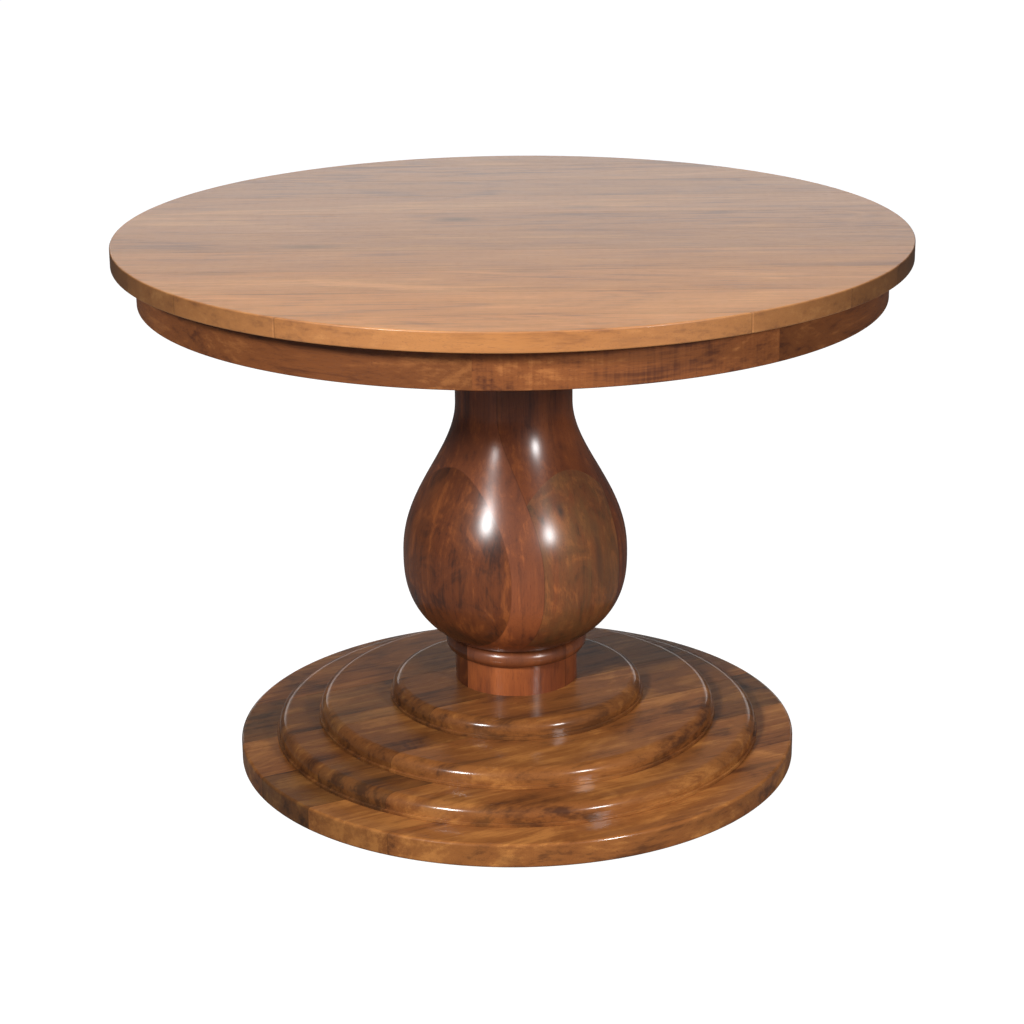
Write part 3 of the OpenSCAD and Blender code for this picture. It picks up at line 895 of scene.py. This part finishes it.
class TABLE_OT_foot(bpy.types.Operator):
    """Makes the three blocks of the column's foot, with its half-round collar"""

    bl_idname = "pedestal_table.foot"
    bl_label = "Foot of the column"

    def execute(self, context):
        shape = context.scene.table_shape
        low, high = (corner.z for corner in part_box("foot_middle"))
        half, radius = shape.foot_block_half, shape.foot_radius
        bead = shape.collar_height / 2
        outline = [(radius, low), (radius, high - 2 * bead)]
        outline += arc(radius, high - bead, bead, -90, 90, COLLAR_POINTS)[1:]
        cuts = {
            "foot_cheek_left": (-NO_JOINT, -half),
            "foot_middle": (-half, half),
            "foot_cheek_right": (half, NO_JOINT),
        }
        turn = -math.pi / 2
        for node, (near, away) in cuts.items():
            loops = [
                turned_about_z(board_plan(r, near, away, shape.arc_points), turn, z)
                for r, z in outline
            ]
            piece = loft(f"finished_{node}", loops)
            stands_for(piece, node)
            give_finish(
                piece, "column_timber", grain_turn=turn, edge_low=near, edge_high=away,
                **FOOT_LOOKS[node],
            )
        return {"FINISHED"}


# The soft edge of a tier's lip
LIP_ARRIS = 0.0006
# One row for each board, from the front right to the back left
TIER_LOOKS = {
    1: [
        dict(seed=3.1, heart=-0.36, tone_and_light=1.40, flame=0.3),
        dict(seed=5.6, heart=-0.10, tone_and_light=1.2, flame=0.5),
        dict(seed=2.8, heart=-0.09, tone_and_light=0.85, olive=0.35),
        dict(seed=7.4, heart=0.03, tone_and_light=1.05, flame=0.25),
        dict(seed=1.5, heart=0.20, tone_and_light=0.85, olive=0.45),
        dict(seed=9.1, heart=0.30, tone_and_light=1.0, flame=0.2),
    ],
    2: [
        dict(seed=6.2, heart=-0.30, tone_and_light=1.2, flame=0.3),
        dict(seed=8.3, heart=-0.10, tone_and_light=1.0, olive=0.3),
        dict(seed=4.9, heart=0.05, tone_and_light=0.78, flame=0.25),
        dict(seed=2.1, heart=0.14, tone_and_light=0.85, olive=0.3),
        dict(seed=1.2, heart=0.22, tone_and_light=1.05, flame=0.2),
    ],
    3: [
        dict(seed=7.7, heart=-0.22, tone_and_light=1.2, flame=0.3),
        dict(seed=3.6, heart=-0.03, tone_and_light=0.82, flame=0.15),
        dict(seed=9.4, heart=0.09, tone_and_light=1.0, olive=0.4),
        dict(seed=5.1, heart=0.2, tone_and_light=0.95, flame=0.2),
    ],
    4: [
        dict(seed=4.1, heart=-0.15, tone_and_light=1.05, flame=0.2),
        dict(seed=6.9, heart=0.0, tone_and_light=0.8, olive=0.15),
        dict(seed=2.4, heart=0.12, tone_and_light=0.9, olive=0.4),
    ],
}


def tier_own(tier, i, shape):
    """What board i of a tier carries."""
    edges = board_edges(i, TIER_COUNTS[tier], shape.tier_board_width)
    return dict(
        grain_turn=shape.tier_turn, edge_low=edges[0], edge_high=edges[1], blotch=1.5,
        **TIER_LOOKS[tier][i - 1],
    )


class TABLE_OT_plain_tier(bpy.types.Operator):
    """Finishes the boards of the lowest, plain tier"""

    bl_idname = "pedestal_table.plain_tier"
    bl_label = "Lowest tier"

    def execute(self, context):
        for i, node in enumerate(tier_nodes(1), 1):
            keep_node(node, "base_timber", **tier_own(1, i, context.scene.table_shape))
        return {"FINISHED"}


class TABLE_OT_moulded_tiers(bpy.types.Operator):
    """Makes the boards of the three moulded tiers"""

    bl_idname = "pedestal_table.moulded_tiers"
    bl_label = "Moulded tiers"

    def execute(self, context):
        shape = context.scene.table_shape
        for tier in (2, 3, 4):
            nodes = tier_nodes(tier)
            low, high = whole_box(nodes)
            outline = self.outline(radius_at_angle(nodes), low.z, high.z, shape)
            for i, node in enumerate(nodes, 1):
                edges = board_edges(i, len(nodes), shape.tier_board_width)
                piece = disc_board(
                    f"finished_{node}", outline, *edges,
                    shape.tier_turn, shape.joint_ease, shape.arc_points,
                )
                stands_for(piece, node)
                give_finish(piece, "base_timber", **tier_own(tier, i, shape))
        return {"FINISHED"}

    def outline(self, radius, low, high, shape):
        """The rim: a square lip with a soft arris, a step and a quarter round."""
        quarter = shape.round_radius
        inner = radius - shape.lip_step
        lip = low + shape.lip_height
        rim = [(radius - LIP_ARRIS, low), (radius, low + LIP_ARRIS)]
        rim += [(radius, lip - LIP_ARRIS), (radius - LIP_ARRIS, lip), (inner, lip)]
        rim += arc(inner - quarter, high - quarter, quarter, 0, 90, ROUND_POINTS)
        return with_bevel_levels(rim, shape.joint_ease)


class TABLE_OT_hidden_timber(bpy.types.Operator):
    """Finishes the plate, battens and dowels, which are plain sanded wood"""

    bl_idname = "pedestal_table.hidden_timber"
    bl_label = "Plate, battens and dowels"

    def execute(self, context):
        for k, node in enumerate(HIDDEN_TIMBER):
            across = math.pi / 2 if node.startswith("batten") else 0.0
            keep_node(node, "raw_timber", grain_turn=across, seed=k + 2.5, heart=0.2 * k)
        return {"FINISHED"}


class TABLE_OT_hardware(bpy.types.Operator):
    """Finishes the tie rod, nuts, washers, screws and felt glides"""

    bl_idname = "pedestal_table.hardware"
    bl_label = "Screws, rod and glides"

    def execute(self, context):
        for node in STEEL_NODES:
            keep_node(node, "zinc_steel")
        keep_node("floor_glides", "dense_felt")
        return {"FINISHED"}


# ---- Stage ----

# What the softboxes point at, and what the other lights point at
AIM = Vector((0, 0, 0.40))
TOP_AIM = Vector((0, 0, 0.8))
# Each softbox: its azimuth and elevation from the table, its size and its share of the power
SOFTBOXES = {
    "softbox_left": (-34, 29.5, (0.85, 0.95), 1.0),
    "softbox_right": (38, 21.5, (0.7, 0.8), 0.62),
}
BACKDROP_PLACE, BACKDROP_SIZE = (0, 8, 2.25), (9, 0.92)
OVERHEAD_PLACE, OVERHEAD_SIZE = (0, 0.4, 4.0), (3, 3)
SENSOR_WIDTH = 36
CLIP_END = 100
FLOOR_SEGMENTS = 96


def seen_from_table(azimuth, elevation, distance):
    """A place in that direction from the table, in degrees from the front and above the horizon."""
    a, e = math.radians(azimuth), math.radians(elevation)
    way = Vector((math.sin(a) * math.cos(e), -math.cos(a) * math.cos(e), math.sin(e)))
    return AIM + distance * way


def area_light(name, place, aim, size, power, shape="ELLIPSE"):
    """A flat light at a place, turned towards another."""
    data = bpy.data.lights.new(name, "AREA")
    data.shape = shape
    data.size, data.size_y = size
    data.energy = power
    lamp = bpy.data.objects.new(name, data)
    lamp.location = place
    lamp.rotation_euler = (aim - Vector(place)).to_track_quat("-Z", "Y").to_euler()
    bpy.context.scene.collection.objects.link(lamp)


class TABLE_OT_stage(bpy.types.Operator):
    """Sets up the floor, the soft studio light and the camera"""

    bl_idname = "pedestal_table.stage"
    bl_label = "Studio"

    def execute(self, context):
        studio = context.scene.table_studio
        self.floor(studio)
        self.sky(studio)
        self.lights(studio)
        self.camera(studio)
        context.scene.view_settings.view_transform = "Standard"
        return {"FINISHED"}

    def floor(self, studio):
        s = Sheet(bpy.data.materials.new("pale_floor"))
        place = s.out(s.node("TexCoord"), "Object")
        patch = s.noise(place, 0.8, 2, 0.5)
        shade = s.mix(patch, studio.floor_colour, [c * 0.985 for c in studio.floor_colour])
        matt = s.node("BsdfDiffuse", None, {"Color": shade})
        glow = s.node("Emission", None, {"Strength": studio.floor_glow})
        seen = s.out(s.node("LightPath"), "Is Camera Ray")
        bright = s.node("AddShader", None, {0: s.out(matt), 1: s.out(glow)})
        lit = s.node("MixShader", None, {0: seen, 1: s.out(matt), 2: s.out(bright)})
        s.node("OutputMaterial", None, {"Surface": s.out(lit)})
        mesh = bpy.data.meshes.new("floor")
        work = bmesh.new()
        bmesh.ops.create_circle(
            work, cap_ends=True, radius=studio.floor_radius, segments=FLOOR_SEGMENTS
        )
        work.to_mesh(mesh)
        work.free()
        mesh.materials.append(s.owner)
        floor = bpy.data.objects.new("floor", mesh)
        bpy.context.scene.collection.objects.link(floor)

    def sky(self, studio):
        s = Sheet(bpy.data.worlds.new("even_sky"))
        seen = s.out(s.node("LightPath"), "Is Camera Ray")
        strength = seen * (studio.floor_glow - studio.sky_strength) + studio.sky_strength
        back = s.node("Background", None, {"Color": (1, 1, 1), "Strength": strength})
        s.node("OutputWorld", None, {"Surface": s.out(back)})
        bpy.context.scene.world = s.owner

    def lights(self, studio):
        for name, (azimuth, elevation, size, part) in SOFTBOXES.items():
            place = seen_from_table(azimuth, elevation, studio.softbox_distance)
            area_light(name, place, AIM, size, studio.softbox_power * part)
        area_light(
            "backdrop_glow", BACKDROP_PLACE, TOP_AIM, BACKDROP_SIZE, studio.backdrop_power,
            "RECTANGLE",
        )
        area_light("overhead", OVERHEAD_PLACE, TOP_AIM, OVERHEAD_SIZE, studio.overhead_power)

    def camera(self, studio):
        data = bpy.data.cameras.new("camera")
        data.sensor_width = SENSOR_WIDTH
        data.lens = studio.camera_lens
        data.clip_end = CLIP_END
        camera = bpy.data.objects.new("camera", data)
        camera.location = (0, -studio.camera_distance, studio.camera_height)
        look = Euler((math.pi / 2 - studio.camera_pitch, 0, studio.camera_yaw)).to_matrix()
        roll = Euler((0, 0, studio.camera_roll)).to_matrix()
        camera.rotation_euler = (look @ roll).to_euler()
        bpy.context.scene.collection.objects.link(camera)
        bpy.context.scene.camera = camera


class TABLE_PT_panel(bpy.types.Panel):
    """Lists the steps that make the table"""

    bl_idname = "TABLE_PT_panel"
    bl_label = "Round pedestal table"
    bl_space_type = "VIEW_3D"
    bl_region_type = "UI"
    bl_category = "Table"

    def draw(self, context):
        for operator in OPERATORS:
            self.layout.operator(operator.bl_idname)
        for group in SETTINGS:
            box = self.layout.box()
            settings = getattr(context.scene, group)
            for key in settings.__annotations__:
                box.prop(settings, key)


OPERATORS = (
    TABLE_OT_top, TABLE_OT_apron, TABLE_OT_column, TABLE_OT_foot, TABLE_OT_plain_tier,
    TABLE_OT_moulded_tiers, TABLE_OT_hidden_timber, TABLE_OT_hardware, TABLE_OT_stage,
)
SETTINGS = {"table_finish": TableFinish, "table_shape": TableShape, "table_studio": TableStudio}


def register():
    for group in (*SETTINGS.values(), *OPERATORS, TABLE_PT_panel):
        bpy.utils.register_class(group)
    for name, group in SETTINGS.items():
        setattr(bpy.types.Scene, name, PointerProperty(type=group))


def unregister():
    for name in SETTINGS:
        delattr(bpy.types.Scene, name)
    for group in reversed((*SETTINGS.values(), *OPERATORS, TABLE_PT_panel)):
        bpy.utils.unregister_class(group)


def main():
    register()
    for operator in OPERATORS:
        family, name = operator.bl_idname.split(".")
        getattr(getattr(bpy.ops, family), name)()


if __name__ == "__main__":
    main()
